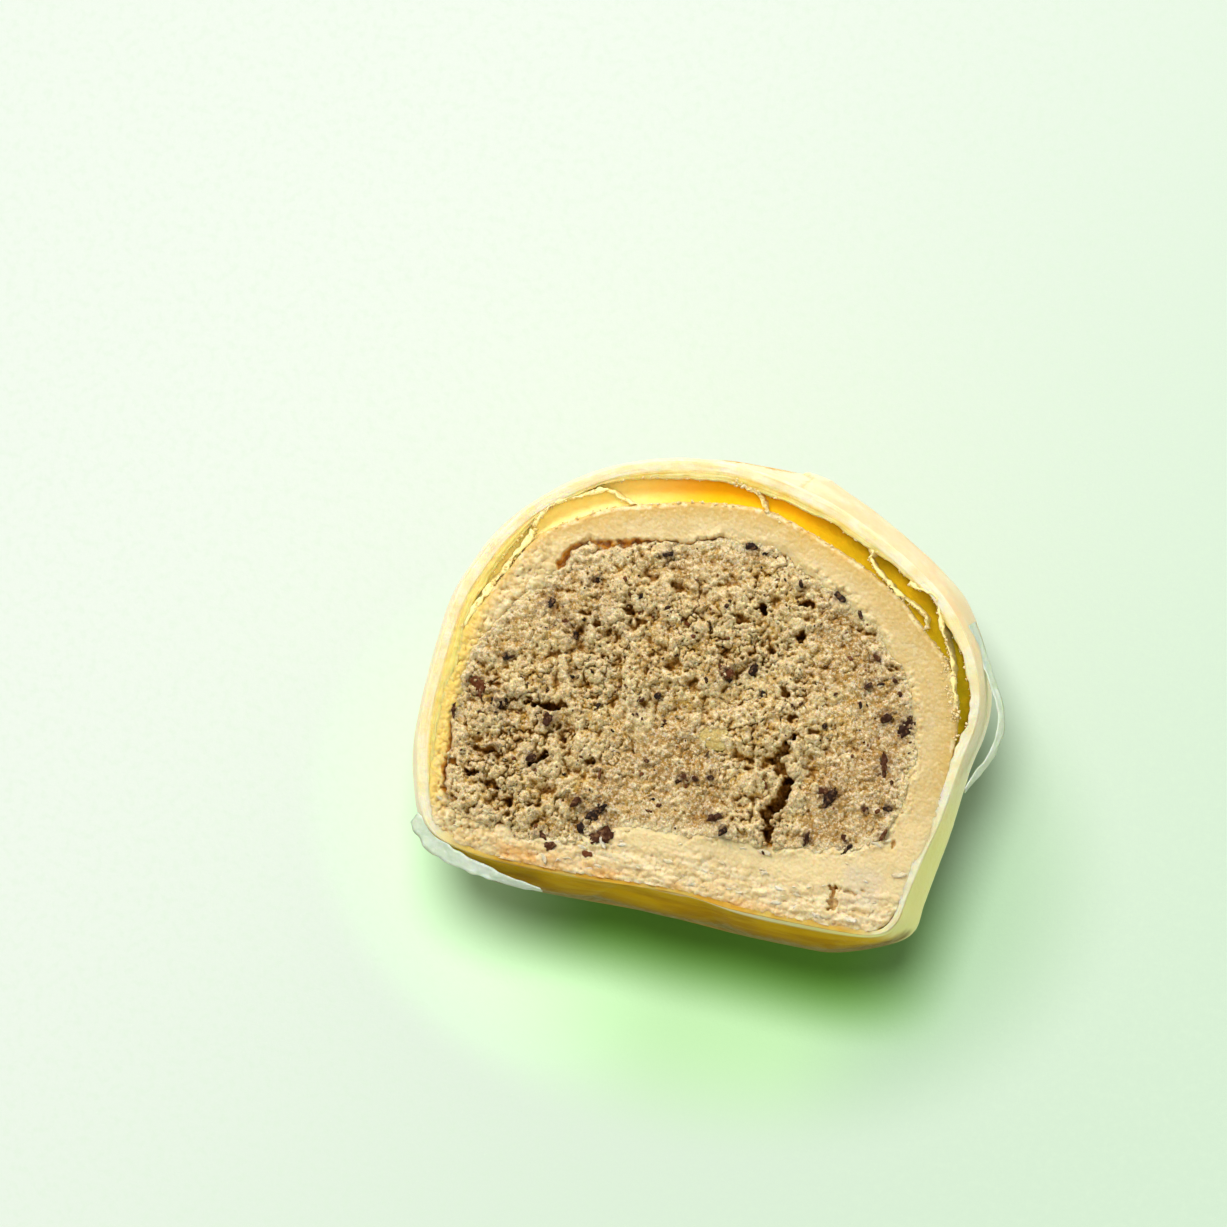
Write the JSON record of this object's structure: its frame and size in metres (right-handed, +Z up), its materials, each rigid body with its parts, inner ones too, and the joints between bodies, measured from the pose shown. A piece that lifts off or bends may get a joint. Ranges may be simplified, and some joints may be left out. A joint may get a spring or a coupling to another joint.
{
  "type": "mooncake half",
  "caption": "Cut half of a baked flaky mooncake lying on its rounded back: layered crust with a puffed gap round a speckled bean filling.",
  "frame": {"origin": "bottom centre of the bounding box, on the small flat spot that the piece rests on", "axes": "+X across the cut face, +Y along the bun's own axis from its underside to its crown, +Z up and out of the cut face"},
  "size_m": [0.0566, 0.046, 0.034],
  "materials": {
    "crust": "matte",
    "filling": "matte"
  },
  "bodies": {
    "root": {"crust": "crust", "filling": "filling"}
  },
  "joints": []
}
